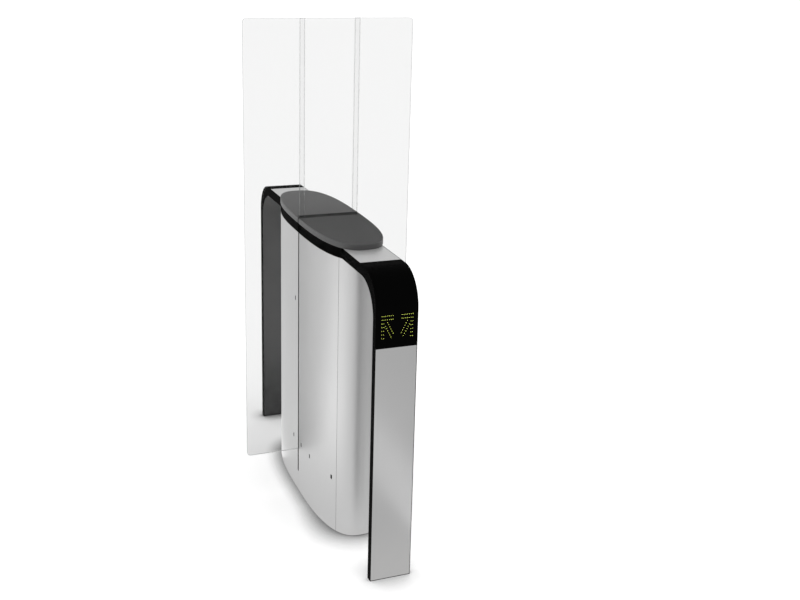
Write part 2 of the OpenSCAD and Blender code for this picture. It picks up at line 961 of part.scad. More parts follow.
// Electronics: an upright tray on the floor plate, with the control board and the power supply
tray_y = -140;
tray_foot = 25;
standoff = 8;
control_t = 1.6;
control_at = [-tray_t / 2 - standoff - control_t, tray_y - (tray_len + control_len) / 2,
              plate_t + tray_h - control_h - 48];
supply_at = [tray_t / 2, tray_y - (tray_len + supply_len) / 2, control_at.z + (control_h - supply_h) / 2];
slot_pitch = 18;

module electronics_tray() {
    color("silver") {
        block([-tray_t / 2, tray_y - tray_len, plate_t], [tray_t / 2, tray_y, plate_t + tray_h]);
        block([tray_t / 2, tray_y - tray_len, plate_t], [tray_foot, tray_y, plate_t + tray_t]);
    }
}

// A box on the board, from its low corner and its size along the board, up it and out from it
module part_on_board(along, up, len, high, out) {
    translate(control_at) block([-out, along, up], [0, along + len, up + high]);
}

module control_board() {
    color("green") translate(control_at) {
        cube([control_t, control_len, control_h]);
        for (y = [8, control_len - 8], z = [8, control_h - 8])
            translate([control_t, y, z]) rotate([0, 90, 0]) cylinder(r = 3, h = standoff);
    }
    color("dimgray") {
        for (i = [0 : 5]) part_on_board(12 + i * 23, 10, 18, 14, 12);
        for (i = [0 : 2]) part_on_board(20 + i * 44, 60, 28, 18, 16);
        part_on_board(60, 120, 30, 30, 3);
        for (i = [0 : 3])
            translate(control_at + [0, 25 + i * 30, control_h - 30]) rotate([0, -90, 0])
                cylinder(r = 7, h = 22);
    }
}

module power_supply() {
    color("lightgray") translate(supply_at) difference() {
        cube([supply_t, supply_len, supply_h]);
        for (z = [slot_pitch : slot_pitch : supply_h - slot_pitch])
            block([supply_t - 4, 10, z - 4], [supply_t + 1, supply_len - 10, z + 4]);
    }
}

floor_plate();
cable_grommet();
leg_feet();
frame_posts();
front_crossbeams();
rear_crossbeams();
spine_plate();
spine_brackets();
pane_shoe();
centre_pane();
front_leg_channel();
rear_leg_channel();
front_corner_channel();
rear_corner_channel();
front_deck();
rear_deck();
front_liner();
rear_liner();
front_leg_panel();
rear_leg_panel();
front_top_panel();
rear_top_panel();
front_display_window();
rear_display_window();
front_light_board();
rear_light_board();
front_cover();
rear_cover();
well_seals();
left_front_skin();
left_rear_skin();
right_front_skin();
right_rear_skin();
front_end_cap();
rear_end_cap();
slot_seals();
photocell_windows();
photocells();
left_rails();
right_rails();
left_wing_glass();
left_wing_clamp();
left_carriages();
left_belt_clamp();
right_wing_glass();
right_wing_clamp();
right_carriages();
right_belt_clamp();
wing_belt();
motor_belt();
drive_pulley();
idler_pulley();
motor_pulley();
bearing_block();
idler_bracket();
gear_motor();
motor_bracket();
electronics_tray();
control_board();
power_supply();
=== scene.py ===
import math

import bmesh
import bpy
from mathutils import Matrix, Vector


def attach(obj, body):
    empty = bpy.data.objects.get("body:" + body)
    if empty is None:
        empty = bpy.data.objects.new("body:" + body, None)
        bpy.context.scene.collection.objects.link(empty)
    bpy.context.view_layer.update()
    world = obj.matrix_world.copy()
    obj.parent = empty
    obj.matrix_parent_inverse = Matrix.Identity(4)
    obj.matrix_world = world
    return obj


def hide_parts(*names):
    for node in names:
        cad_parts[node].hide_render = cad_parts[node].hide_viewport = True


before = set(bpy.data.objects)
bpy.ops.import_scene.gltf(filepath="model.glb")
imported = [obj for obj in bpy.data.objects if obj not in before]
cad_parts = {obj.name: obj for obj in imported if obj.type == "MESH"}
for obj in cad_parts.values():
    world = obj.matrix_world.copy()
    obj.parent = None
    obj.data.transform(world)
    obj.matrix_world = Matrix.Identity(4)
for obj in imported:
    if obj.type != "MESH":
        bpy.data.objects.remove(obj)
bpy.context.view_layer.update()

# Floor plate and cable grommet
# The base is an 8 mm laser-cut steel plate in the shape of the lens, powder coated grey, with
# four anchor holes. A rubber grommet snaps into its fifth hole and guards the cables.


def add(tree, kind, inputs=(), **settings):
    """A node with its settings, and its inputs wired to other sockets or set to values."""
    node = tree.nodes.new(kind)
    for key, value in settings.items():
        setattr(node, key, value)
    for key, value in inputs.items() if isinstance(inputs, dict) else enumerate(inputs):
        if isinstance(value, bpy.types.NodeSocket):
            tree.links.new(value, node.inputs[key])
        else:
            node.inputs[key].default_value = value
    return node


def new_tree(name, kind, inputs, outputs):
    """A node group with its sockets, the outputs of its input node and the inputs of its output."""
    tree = bpy.data.node_groups.new(name, kind)
    for socket_name, (socket_kind, value) in inputs.items():
        socket = tree.interface.new_socket(socket_name, in_out="INPUT",
                                           socket_type="NodeSocket" + socket_kind)
        if value is not None:
            socket.default_value = value
    for socket_name, socket_kind in outputs.items():
        tree.interface.new_socket(socket_name, in_out="OUTPUT",
                                  socket_type="NodeSocket" + socket_kind)
    return tree, tree.nodes.new("NodeGroupInput").outputs, tree.nodes.new("NodeGroupOutput").inputs


def tone_drift_group():
    """Slow change of a finish's tone over the sheet, as handling and rolling leave it."""
    tree, given, result = new_tree(
        "Tone drift", "ShaderNodeTree",
        {"Colour": ("Color", (0.5, 0.5, 0.5, 1)), "Size": ("Float", 4.0), "Amount": ("Float", 0.1)},
        {"Colour": "Color"})
    place = add(tree, "ShaderNodeTexCoord").outputs["Object"]
    noise = add(tree, "ShaderNodeTexNoise", {"Vector": place, "Scale": given["Size"],
                                             "Detail": 4.0})
    spread = add(tree, "ShaderNodeMapRange", {"Value": noise.outputs["Fac"], "From Min": 0.3,
                                              "From Max": 0.7, "To Min": -0.5, "To Max": 0.5})
    share = add(tree, "ShaderNodeMath", (spread.outputs["Result"], given["Amount"], 1.0),
                operation="MULTIPLY_ADD")
    scaled = add(tree, "ShaderNodeVectorMath", {0: given["Colour"], "Scale": share.outputs[0]},
                 operation="SCALE")
    tree.links.new(scaled.outputs["Vector"], result["Colour"])
    return tree


def grain_group():
    """Fine grain, drawn out along one direction by brushing, or even where the stretch is."""
    tree, given, result = new_tree(
        "Grain", "ShaderNodeTree",
        {"Stretch": ("Vector", (1, 1, 1)), "Low": ("Float", 0.4), "High": ("Float", 0.5)},
        {"Roughness": "Float", "Height": "Float"})
    place = add(tree, "ShaderNodeTexCoord").outputs["Object"]
    stretch = add(tree, "ShaderNodeVectorMath", (place, given["Stretch"]), operation="MULTIPLY")
    noise = add(tree, "ShaderNodeTexNoise", {"Vector": stretch.outputs["Vector"], "Scale": 1.0,
                                             "Detail": 3.0})
    spread = add(tree, "ShaderNodeMapRange", {"Value": noise.outputs["Fac"], "From Min": 0.25,
                                              "From Max": 0.75, "To Min": given["Low"],
                                              "To Max": given["High"]})
    tree.links.new(spread.outputs["Result"], result["Roughness"])
    tree.links.new(noise.outputs["Fac"], result["Height"])
    return tree


def low_dust_and_painted_light_group():
    """A low tone, strongest at the floor and gone at its reach: dust, painted shade and painted
    light.
    """
    tree, given, result = new_tree(
        "Low dust and painted light", "ShaderNodeTree",
        {"Colour": ("Color", (0.5, 0.5, 0.5, 1)), "Dust and painted light tone": ("Color", (0.4, 0.4, 0.4, 1)),
         "Reach": ("Float", 0.05), "Amount": ("Float", 0.2)},
        {"Colour": "Color"})
    place = add(tree, "ShaderNodeTexCoord").outputs["Object"]
    axes = add(tree, "ShaderNodeSeparateXYZ", (place,))
    fade = add(tree, "ShaderNodeMapRange", {"Value": axes.outputs["Z"], "From Max": given["Reach"],
                                            "To Min": 1.0, "To Max": 0.0},
               interpolation_type="SMOOTHSTEP")
    patches = add(tree, "ShaderNodeTexNoise", {"Vector": place, "Scale": 35.0, "Detail": 5.0})
    even = add(tree, "ShaderNodeMapRange", {"Value": patches.outputs["Fac"], "To Min": 0.6})
    dust_and_painted_light = add(tree, "ShaderNodeMath", (fade.outputs["Result"], even.outputs["Result"]),
               operation="MULTIPLY")
    share = add(tree, "ShaderNodeMath", (dust_and_painted_light.outputs[0], given["Amount"]), operation="MULTIPLY")
    mix = add(tree, "ShaderNodeMix", {"Factor": share.outputs[0], "A": given["Colour"],
                                      "B": given["Dust and painted light tone"]}, data_type="RGBA")
    tree.links.new(mix.outputs["Result"], result["Colour"])
    return tree


TONE_DRIFT = tone_drift_group()
GRAIN = grain_group()
LOW_DUST_AND_PAINTED_LIGHT = low_dust_and_painted_light_group()
RELIEF_HEIGHT = 0.0004


def surface(name, colour, rough, stretch=(900, 900, 900), drift=0.12, drift_size=5.0, bump=0.02,
            dust_and_painted_light=None, **sockets):
    """A finish: a drifting tone, grain in its roughness and relief, and low dust, painted shade and
    painted light as given.
    """
    material = bpy.data.materials.new(name)
    material.use_nodes = True
    tree = material.node_tree
    shader = tree.nodes["Principled BSDF"]
    for socket, value in sockets.items():
        shader.inputs[socket.replace("_", " ")].default_value = value
    shade = add(tree, "ShaderNodeGroup", node_tree=TONE_DRIFT, inputs={
        "Colour": (*colour, 1), "Size": drift_size, "Amount": drift}).outputs["Colour"]
    grain = add(tree, "ShaderNodeGroup", node_tree=GRAIN, inputs={
        "Stretch": stretch, "Low": rough[0], "High": rough[1]})
    tree.links.new(grain.outputs["Roughness"], shader.inputs["Roughness"])
    relief = add(tree, "ShaderNodeBump", {"Strength": bump, "Distance": RELIEF_HEIGHT,
                                          "Height": grain.outputs["Height"]})
    tree.links.new(relief.outputs["Normal"], shader.inputs["Normal"])
    if dust_and_painted_light:
        tone, reach, amount = dust_and_painted_light
        dusted_and_painted = add(tree, "ShaderNodeGroup", node_tree=LOW_DUST_AND_PAINTED_LIGHT, inputs={
            "Colour": shade, "Dust and painted light tone": (*tone, 1), "Reach": reach, "Amount": amount})
        shade = dusted_and_painted.outputs["Colour"]
    tree.links.new(shade, shader.inputs["Base Color"])
    return material


def paint(material, *names):
    """Gives CAD nodes a finish."""
    for name in names:
        for material_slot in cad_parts[name].material_slots:
            material_slot.material = material


DUST = (0.42, 0.41, 0.39)
powder_coat = surface("Grey powder coat", (0.16, 0.17, 0.18), (0.5, 0.65), bump=0.12,
                      dust_and_painted_light=(DUST, 0.05, 0.4))
grommet_rubber = surface("Grommet rubber", (0.02, 0.02, 0.02), (0.6, 0.75), dust_and_painted_light=(DUST, 0.03, 0.3))
paint(powder_coat, "floor_plate")
paint(grommet_rubber, "cable_grommet")

# Inner frame
# Four square steel tubes, powder coated, are welded to the floor plate and carry the beam. Bolted
# crossbeams hold the rails, and a spine between the wings holds the fixed pane's aluminium shoe.

paint(powder_coat, "frame_posts", "front_crossbeams", "rear_crossbeams", "spine_plate",
      "spine_brackets")
extruded_aluminium = surface("Anodised extrusion", (0.62, 0.62, 0.63), (0.3, 0.42), (700, 700, 20),
                             Metallic=1.0)
paint(extruded_aluminium, "pane_shoe")

# Rails and carriages
# Ground steel rails with a groove along each edge, screwed to the crossbeams, and the hardened
# carriages that run on them, bolted to the wing clamps.

ground_steel = surface("Ground steel", (0.55, 0.55, 0.55), (0.18, 0.3), (20, 900, 900),
                       Metallic=1.0)
paint(ground_steel, "left_rails", "right_rails", "left_carriages", "right_carriages")

# Belt drive
# A toothed rubber belt runs round two turned aluminium pulleys behind the side skins. A gear motor
# on a folded bracket drives the front one through a second belt.

belt_rubber = surface("Belt rubber", (0.018, 0.018, 0.018), (0.5, 0.7))
turned_aluminium = surface("Turned aluminium", (0.6, 0.6, 0.61), (0.2, 0.35), (400, 400, 900),
                           Metallic=1.0)
motor_black = surface("Motor paint", (0.035, 0.037, 0.04), (0.35, 0.5), bump=0.06)
paint(belt_rubber, "wing_belt", "motor_belt")
paint(turned_aluminium, "drive_pulley", "idler_pulley", "motor_pulley", "bearing_block",
      "idler_bracket")
paint(motor_black, "gear_motor")
paint(powder_coat, "motor_bracket")

# Electronics
# A zinc-plated steel tray stands on the floor plate. It carries a lacquered control board on four
# spacers and a power supply in a slotted case.

zinc_plate = surface("Zinc plate", (0.5, 0.51, 0.53), (0.3, 0.5), drift=0.3, drift_size=40,
                     Metallic=1.0)
board_lacquer = surface("Board lacquer", (0.015, 0.1, 0.035), (0.25, 0.35), drift=0.3,
                        drift_size=60)
paint(zinc_plate, "electronics_tray", "power_supply")
paint(board_lacquer, "control_board")

# Wing clamps and belt clamps
# Anodised extrusions grip the inner edge of each wing along its whole height in the body, with
# bolts through the front bar. A machined block below each one grips one run of the belt.

paint(extruded_aluminium, "left_wing_clamp", "right_wing_clamp", "left_belt_clamp",
      "right_belt_clamp")

# Arch: leg feet, leg channels, corner channels and decks
# Folded and welded 2 mm steel sheet, sprayed gloss black. The cheeks run up both legs, round the
# corners and along the beam, which swells into the lens under the cover.

FOOT_EDGE = 0.0004
CHANNEL_EDGE = 0.0006
MERGE_DISTANCE = 2e-6
FLAT_ANGLE = math.radians(0.2)
BEVEL_ANGLE = math.radians(35)
FACE_WEIGHT = 90


def round_edges(piece, width):
    """Rounds a piece's sharp edges, and keeps its flat faces flat in the shading."""
    bevel = piece.modifiers.new("Rounded edges", "BEVEL")
    bevel.width = width
    bevel.segments = 2
    bevel.limit_method = "ANGLE"
    bevel.angle_limit = BEVEL_ANGLE
    flat = piece.modifiers.new("Flat faces", "WEIGHTED_NORMAL")
    flat.weight = FACE_WEIGHT
    return bevel


def new_piece(name, mesh, node, body="frame"):
    """A scene piece that stands for a CAD node."""
    piece = bpy.data.objects.new(name, mesh)
    bpy.context.scene.collection.objects.link(piece)
    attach(piece, body)
    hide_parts(node)
    return piece


def merged_copy(node, ending, finishes, finish_face):
    """A copy of a CAD node's mesh in these finishes, with its flat faces merged."""
    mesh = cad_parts[node].data.copy()
    mesh.name = node + ending
    mesh.materials.clear()
    for finish in finishes:
        mesh.materials.append(finish)
    shell = bmesh.new()
    shell.from_mesh(mesh)
    bmesh.ops.remove_doubles(shell, verts=shell.verts, dist=MERGE_DISTANCE)
    bmesh.ops.dissolve_limit(shell, angle_limit=FLAT_ANGLE, verts=shell.verts, edges=shell.edges)
    for face in shell.faces:
        finish_face(face)
    shell.to_mesh(mesh)
    shell.free()
    return mesh


def soft_edged(node, finish, width):
    """A copy of a CAD node with small rounded edges, which stands for the node."""
    def smoothed(face):
        face.smooth = True

    mesh = merged_copy(node, "_rounded", [finish], smoothed)
    round_edges(new_piece(mesh.name, mesh, node), width)


gloss_black = surface("Gloss black paint", (0.0008, 0.0008, 0.0008), (0.22, 0.3), drift=0.3,
                      bump=0.004, dust_and_painted_light=(DUST, 0.03, 0.03), Specular_IOR_Level=0.0, Coat_Weight=0.03,
                      Coat_Roughness=0.12)
soft_edged("leg_feet", gloss_black, FOOT_EDGE)
for end in ("front", "rear"):
    for part in ("_leg_channel", "_corner_channel", "_deck"):
        soft_edged(end + part, gloss_black, CHANNEL_EDGE)

# Liners
# Dark grey painted steel sheets, bonded to the inner faces of both legs, round the bends and
# under the beam up to the body. Their lower ends are painted darker, as painted shade.

LINER_EDGE = 0.0004

# The near-black tone over the lowest 0.45 m, strongest at the floor, is painted shade.
satin_grey = surface("Satin grey paint", (0.115, 0.115, 0.115), (0.45, 0.55), drift=0.15, bump=0.02,
                     dust_and_painted_light=((0.02, 0.02, 0.02), 0.45, 0.9), Specular_IOR_Level=0.15)
for end in ("front", "rear"):
    soft_edged(end + "_liner", satin_grey, LINER_EDGE)

# Leg panels and top panels
# Brushed stainless steel trays with folded edges, pushed into the channels from outside. The
# grain runs up the legs and along the beam.

UPRIGHT_GRAIN = (1400, 1400, 12)
LONG_GRAIN = (1400, 12, 1400)
FOLD_EDGE = 0.0007

# The leg panels' lowest 0.28 m is painted lighter, as painted light.
brushed_leg = surface("Brushed steel, upright grain", (0.36, 0.36, 0.36), (0.16, 0.26),
                      UPRIGHT_GRAIN, drift=0.05, drift_size=2.5,
                      dust_and_painted_light=((0.6, 0.59, 0.57), 0.28, 0.2), Metallic=1.0)
brushed_top = surface("Brushed steel, long grain", (0.47, 0.47, 0.47), (0.28, 0.4), LONG_GRAIN,
                      drift=0.05, drift_size=2.5, Metallic=0.4)
for end in ("front", "rear"):
    soft_edged(end + "_leg_panel", brushed_leg, FOLD_EDGE)
    soft_edged(end + "_top_panel", brushed_top, FOLD_EDGE)

# Display windows and light boards
# Smoked acrylic, 3 mm thick, bent hot over the corners of the arch and set flush between the
# cheeks. A lacquered board with small lights stands on spacers behind each one.

WINDOW_EDGE = 0.0005

smoked_acrylic = surface("Smoked acrylic", (0.0006, 0.0006, 0.0006), (0.06, 0.1), drift=0.2,
                         bump=0.002, Specular_IOR_Level=0.0, Coat_Weight=0.03, Coat_Roughness=0.03)
for end in ("front", "rear"):
    soft_edged(end + "_display_window", smoked_acrylic, WINDOW_EDGE)
paint(board_lacquer, "front_light_board", "rear_light_board")

# Light arrows
# Two arrows of small yellow-green lights shine through each window: two rows along the top, two
# columns down the outer side and a double diagonal. Moulded light guides bring them to its face.

ARROW_TOP = 0.938
ARROW_FACE = 0.705
ARROW_WIDTH = 0.037
ARROW_ROW = 0.0123
ARROW_COLUMNS = 7
ARROW_ROWS = 7
DIAGONAL_LIGHTS = 6
SECOND_COLUMN = 1 / 6  # of the arrow's width
DIAGONAL_STEP = (9.5, 0.61)  # steps in the arrow's width, rows down at each step
DIAGONAL_STARTS = ((0.51, 1.76), (0.32, 2.75))  # share of the arrow's width, rows down
LEFT_ARROW = -0.051
RIGHT_ARROW = 0.0535
LIGHT_WIDTH = 0.0018
LIGHT_HEIGHT = 0.0024
LIGHT_RISE = 0.0001
LIGHT_STRENGTH = 1.5


def grown(tree, name, settings):
    """The plain mesh that a geometry node tree makes with these settings."""
    holder = bpy.data.objects.new(name, bpy.data.meshes.new(name))
    bpy.context.scene.collection.objects.link(holder)
    modifier = holder.modifiers.new("Nodes", "NODES")
    modifier.node_group = tree
    for socket in tree.interface.items_tree:
        if socket.in_out == "INPUT" and socket.name in settings:
            modifier[socket.identifier] = settings[socket.name]
    shape = holder.evaluated_get(bpy.context.evaluated_depsgraph_get())
    mesh = bpy.data.meshes.new_from_object(shape)
    bpy.data.objects.remove(holder)
    mesh.name = name
    return mesh


def maths(tree, operation, *values):
    return add(tree, "ShaderNodeMath", values, operation=operation).outputs[0]


def vector(tree, x, y, z):
    return add(tree, "ShaderNodeCombineXYZ", (x, y, z)).outputs[0]


def finished(tree, mesh, finish, result):
    """The end of a tree: real geometry with its material."""
    real = add(tree, "GeometryNodeRealizeInstances", {"Geometry": mesh})
    coated = add(tree, "GeometryNodeSetMaterial", {"Geometry": real.outputs["Geometry"],
                                                   "Material": finish})
    tree.links.new(coated.outputs["Geometry"], result["Geometry"])
    return tree


def light_arrow_tree():
    """One arrow in X and Z, from its outer top corner inwards and down."""
    tree, given, result = new_tree(
        "Light arrow", "GeometryNodeTree",
        {"Width": ("Float", ARROW_WIDTH), "Row step": ("Float", ARROW_ROW),
         "Columns": ("Int", ARROW_COLUMNS), "Rows": ("Int", ARROW_ROWS),
         "Diagonal lights": ("Int", DIAGONAL_LIGHTS),
         "Light size": ("Vector", (LIGHT_WIDTH, 4 * LIGHT_RISE, LIGHT_HEIGHT)),
         "Finish": ("Material", None)},
        {"Geometry": "Geometry"})
    width, row = given["Width"], given["Row step"]
    column = maths(tree, "DIVIDE", width, maths(tree, "SUBTRACT", given["Columns"], 1.0))
    lower_rows = maths(tree, "SUBTRACT", given["Rows"], 2.0)
    across = vector(tree, column, 0.0, 0.0)
    down = vector(tree, 0.0, 0.0, maths(tree, "MULTIPLY", row, -1.0))
    slant = vector(tree, maths(tree, "DIVIDE", width, DIAGONAL_STEP[0]), 0.0,
                   maths(tree, "MULTIPLY", row, -DIAGONAL_STEP[1]))
    join = add(tree, "GeometryNodeJoinGeometry")
    for count, step, starts in (
            (given["Columns"], across, ((0.0, 0.0), (0.0, 1.0))),
            (lower_rows, down, ((0.0, 2.0), (SECOND_COLUMN, 2.0))),
            (given["Diagonal lights"], slant, DIAGONAL_STARTS)):
        for shift, rows_down in starts:
            start = vector(tree, maths(tree, "MULTIPLY", width, shift), 0.0,
                           maths(tree, "MULTIPLY", row, -rows_down))
            line = add(tree, "GeometryNodeMeshLine", {"Count": count, "Start Location": start,
                                                      "Offset": step})
            tree.links.new(line.outputs["Mesh"], join.inputs["Geometry"])
    dome = add(tree, "GeometryNodeMeshUVSphere", {"Segments": 12, "Rings": 6, "Radius": 0.5})
    shaped = add(tree, "GeometryNodeTransform", {"Geometry": dome.outputs["Mesh"],
                                                 "Scale": given["Light size"]})
    placed = add(tree, "GeometryNodeInstanceOnPoints", {"Points": join.outputs["Geometry"],
                                                        "Instance": shaped.outputs["Geometry"]})
    return finished(tree, placed.outputs["Instances"], given["Finish"], result)


def put_together(name, parts, finish):
    """One mesh in one finish from several meshes, each with the matrix that puts it in place."""
    shell = bmesh.new()
    for mesh, place in parts:
        old = set(shell.verts)
        shell.from_mesh(mesh)
        bmesh.ops.transform(shell, matrix=place, verts=[v for v in shell.verts if v not in old])
    bmesh.ops.recalc_face_normals(shell, faces=shell.faces)
    for face in shell.faces:
        face.smooth = True
        face.material_index = 0
    whole = bpy.data.meshes.new(name)
    shell.to_mesh(whole)
    shell.free()
    whole.materials.append(finish)
    return whole


arrow_light = surface("Arrow light", (0.25, 0.3, 0.03), (0.3, 0.4), drift=0.2, drift_size=90)
glow = add(arrow_light.node_tree, "ShaderNodeGroup", node_tree=TONE_DRIFT, inputs={
    "Colour": (0.8, 0.9, 0.14, 1), "Size": 160.0, "Amount": 0.6})
light_shader = arrow_light.node_tree.nodes["Principled BSDF"]
arrow_light.node_tree.links.new(glow.outputs["Colour"], light_shader.inputs["Emission Color"])
light_shader.inputs["Emission Strength"].default_value = LIGHT_STRENGTH

one_arrow = grown(light_arrow_tree(), "light_arrow", {"Finish": arrow_light})
HALF_TURN = Matrix.Rotation(math.pi, 4, "Z")
arrow_places = [Matrix.Translation((LEFT_ARROW, LIGHT_RISE - ARROW_FACE, ARROW_TOP)),
                Matrix.Translation((RIGHT_ARROW, LIGHT_RISE - ARROW_FACE, ARROW_TOP))
                @ Matrix.Scale(-1, 4, (1, 0, 0))]
for end, turn in (("front", Matrix.Identity(4)), ("rear", HALF_TURN)):
    name = end + "_light_arrows"
    placed_arrows = [(one_arrow, turn @ place) for place in arrow_places]
    arrows = bpy.data.objects.new(name, put_together(name, placed_arrows, arrow_light))
    bpy.context.scene.collection.objects.link(arrows)
    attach(arrows, "frame")

# Side skins and end caps
# Stainless steel sheets, 2 mm thick, rolled to the lens outline and finished satin, with a black
# lip on their cut edges. Two skins on each side part at the wing slot, and end caps close the lens.

LENS_LENGTH = 0.824
LENS_WIDTH = 0.234
LENS_FULLNESS = 2.75
SKIN = 0.002
SEAM = 0.357
SKIN_TOP = 1.034
SLOT_LOW = 0.079
SLOT_OUTER = 0.018
SLOT_INNER = 0.006
SLOT_MIDDLE = 0.012
JOINT = 0.00035
CELL_WIDTH = 0.0084
CELL_HEIGHT = 0.0164
LOW_CELL = 0.205
HIGH_CELL = 0.772
FRONT_CELLS = (-0.05, -0.15, -0.33)
REAR_CELL = 0.05
HIGH_CELL_PLACE = 0.03
OVERLAP = 0.001  # of a slot's gap past the middle, where two skins share it
OPEN_END = 2  # a height above every skin, for slots that are open upwards
SKIN_STEP = 0.005
CAP_STEP = 0.003
OUTLINE_SAMPLES = 2000
LIP_EDGE = 0.0004


def lens_point(turn):
    """A point of the lens outline, at a turn that goes round from +X."""
    c, s = math.cos(turn), math.sin(turn)
    power = 2 / LENS_FULLNESS
    return (math.copysign(abs(c) ** power, c) * LENS_WIDTH / 2,
            math.copysign(abs(s) ** power, s) * LENS_LENGTH / 2)


def left_turn(y):
    """The turn at which the left side of the lens passes this place along the body."""
    share = math.asin((abs(y) / (LENS_LENGTH / 2)) ** (LENS_FULLNESS / 2))
    return math.pi - math.copysign(share, y)


def even_turns(start, end, step):
    """Turns from start to end at even steps of length along the outline."""
    fine = [start + (end - start) * i / OUTLINE_SAMPLES for i in range(OUTLINE_SAMPLES + 1)]
    points = [Vector(lens_point(t)) for t in fine]
    lengths = [0.0]
    for a, b in zip(points, points[1:]):
        lengths.append(lengths[-1] + (b - a).length)
    count = max(2, round(lengths[-1] / step))
    turns, i = [], 0
    for k in range(count + 1):
        while i < OUTLINE_SAMPLES and lengths[i] < lengths[-1] * k / count - 1e-9:
            i += 1
        turns.append(fine[i])
    return turns


def lens_wall(name, node, finish, turns, gaps, place):
    """A rolled sheet along the lens outline, with gaps as (y0, y1, z0, z1) on the left side."""
    turns = sorted(set(turns + [left_turn(y) for gap in gaps for y in gap[:2]]))
    rows = sorted({JOINT, SKIN_TOP - JOINT, *(z for gap in gaps for z in gap[2:] if z < SKIN_TOP)})
    shell = bmesh.new()
    grid = [[shell.verts.new((*lens_point(t), z)) for z in rows] for t in turns]
    for i in range(len(turns) - 1):
        y = lens_point((turns[i] + turns[i + 1]) / 2)[1]
        for k in range(len(rows) - 1):
            z = (rows[k] + rows[k + 1]) / 2
            if not any(a < y < b and c < z < d for a, b, c, d in gaps):
                shell.faces.new((grid[i][k], grid[i + 1][k], grid[i + 1][k + 1], grid[i][k + 1]))
    bmesh.ops.delete(shell, geom=[v for v in shell.verts if not v.link_faces], context="VERTS")
    for face in shell.faces:
        face.smooth = True
    bmesh.ops.transform(shell, matrix=place, verts=shell.verts)
    mesh = bpy.data.meshes.new(name)
    shell.to_mesh(mesh)
    shell.free()
    mesh.materials.append(finish)
    mesh.materials.append(edge_lip)
    piece = new_piece(name, mesh, node)
    sheet = piece.modifiers.new("Sheet", "SOLIDIFY")
    sheet.thickness = SKIN
    sheet.offset = -1
    sheet.use_even_offset = True
    sheet.material_offset_rim = 1
    round_edges(piece, LIP_EDGE)


def cell_gap(y, z):
    """The gap for a photocell window with its middle at this place on the left side."""
    return (y - CELL_WIDTH / 2, y + CELL_WIDTH / 2, z - CELL_HEIGHT / 2, z + CELL_HEIGHT / 2)


satin_steel = surface("Satin steel", (0.53, 0.53, 0.53), (0.44, 0.52), UPRIGHT_GRAIN, drift=0.04,
                      drift_size=2.0, bump=0.015, dust_and_painted_light=(DUST, 0.05, 0.1), Metallic=1.0)
cap_steel = surface("Satin steel, end caps", (0.55, 0.55, 0.55), (0.48, 0.56), UPRIGHT_GRAIN,
                    drift=0.04, drift_size=2.0, bump=0.015, dust_and_painted_light=(DUST, 0.05, 0.1), Metallic=1.0)
edge_lip = surface("Edge lip", (0.004, 0.004, 0.004), (0.6, 0.7), Specular_IOR_Level=0.1)
front_gaps = [(-SLOT_OUTER, -SLOT_MIDDLE + OVERLAP, SLOT_LOW, OPEN_END)]
front_gaps += [cell_gap(y, LOW_CELL) for y in FRONT_CELLS]
rear_gaps = [(-SLOT_MIDDLE - OVERLAP, -SLOT_INNER, SLOT_LOW, OPEN_END)]
rear_gaps += [cell_gap(REAR_CELL, LOW_CELL), cell_gap(HIGH_CELL_PLACE, HIGH_CELL)]
front_turns = even_turns(left_turn(-SLOT_MIDDLE - JOINT), left_turn(-SEAM + JOINT), SKIN_STEP)
rear_turns = even_turns(left_turn(SEAM - JOINT), left_turn(-SLOT_MIDDLE + JOINT), SKIN_STEP)
cap_turns = even_turns(left_turn(-SEAM - JOINT), 3 * math.pi - left_turn(-SEAM - JOINT), CAP_STEP)
for side, front, rear, turn in (("left", "front", "rear", Matrix.Identity(4)),
                                ("right", "rear", "front", HALF_TURN)):
    lens_wall(f"{side}_{front}_satin_skin", f"{side}_{front}_skin", satin_steel, front_turns,
              front_gaps, turn)
    lens_wall(f"{side}_{rear}_satin_skin", f"{side}_{rear}_skin", satin_steel, rear_turns,
              rear_gaps, turn)
    lens_wall(front + "_nose", front + "_end_cap", cap_steel, cap_turns, [], turn)

# Photocells and slot seals
# Dark infrared-pass windows sit flush in the skins, each with a moulded sensor behind it. Rubber
# lips are glued inside the skins along both sides of the wing slots.

CELL_EDGE = 0.0003

infrared_pass = surface("Infrared-pass plastic", (0.003, 0.002, 0.002), (0.15, 0.25), bump=0.0,
                        Specular_IOR_Level=0.0, Coat_Weight=0.03, Coat_Roughness=0.1)
sensor_moulding = surface("Sensor moulding", (0.04, 0.04, 0.045), (0.5, 0.6))
seal_rubber = surface("Seal rubber", (0.01, 0.01, 0.01), (0.55, 0.7), Specular_IOR_Level=0.1)
soft_edged("photocell_windows", infrared_pass, CELL_EDGE)
paint(sensor_moulding, "photocells")
paint(seal_rubber, "slot_seals")

# Glass panes
# Toughened clear glass, 8 mm thick, with ground edges and arrises. The fixed pane stands in its
# shoe in the body. The two wings slide in planes in front of it and behind it.

GLASS_TINT = (0.930, 0.932, 0.931, 1)
GLASS_IOR = 1.2
ARRIS_WIDTH = 0.0009


def glass_pane(node, body):
    """A copy of a pane with clear faces, ground edges and a narrow chamfer all round."""
    def clear_or_ground(face):
        face.smooth = False
        face.material_index = 0 if abs(face.normal.y) > 0.5 else 1

    mesh = merged_copy(node, "_ground", [clear_glass, ground_edge, arris], clear_or_ground)
    pane = new_piece(mesh.name, mesh, node, body)
    round_edges(pane, ARRIS_WIDTH).material = 2


